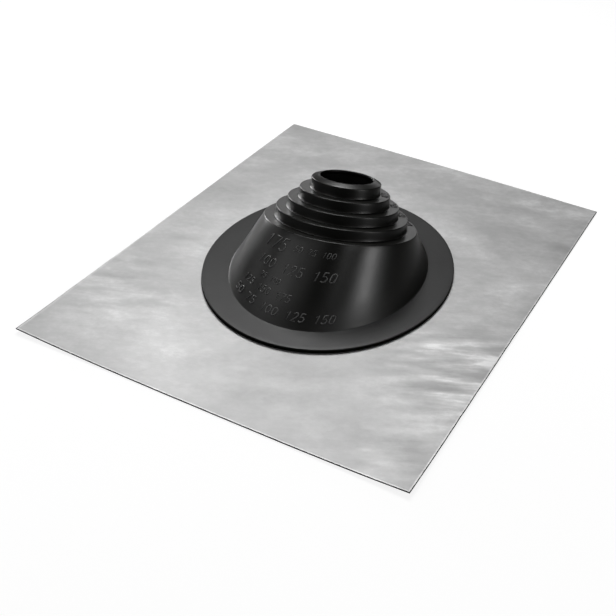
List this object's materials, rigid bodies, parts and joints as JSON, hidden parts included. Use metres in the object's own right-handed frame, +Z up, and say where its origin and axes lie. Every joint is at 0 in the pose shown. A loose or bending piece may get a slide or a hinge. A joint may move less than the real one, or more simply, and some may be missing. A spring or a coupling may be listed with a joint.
{
  "type": "pipe flashing boot",
  "caption": "Black stepped rubber boot leaning back from an oval flange, bonded over a hole in a rectangular aluminium roofing sheet, open at the top for a pipe.",
  "frame": {"origin": "centre of the sheet's underside", "axes": "+Z up from the sheet, +Y along the sheet's long side, towards which the boot leans, +X along its short side"},
  "size_m": [0.45, 0.6, 0.1202],
  "materials": {
    "aluminium_sheet": "dull soft sheet",
    "black_rubber": "smooth moulded, satin"
  },
  "bodies": {
    "root": {"flashing_sheet": "aluminium_sheet", "rubber_boot": "black_rubber"}
  },
  "joints": []
}
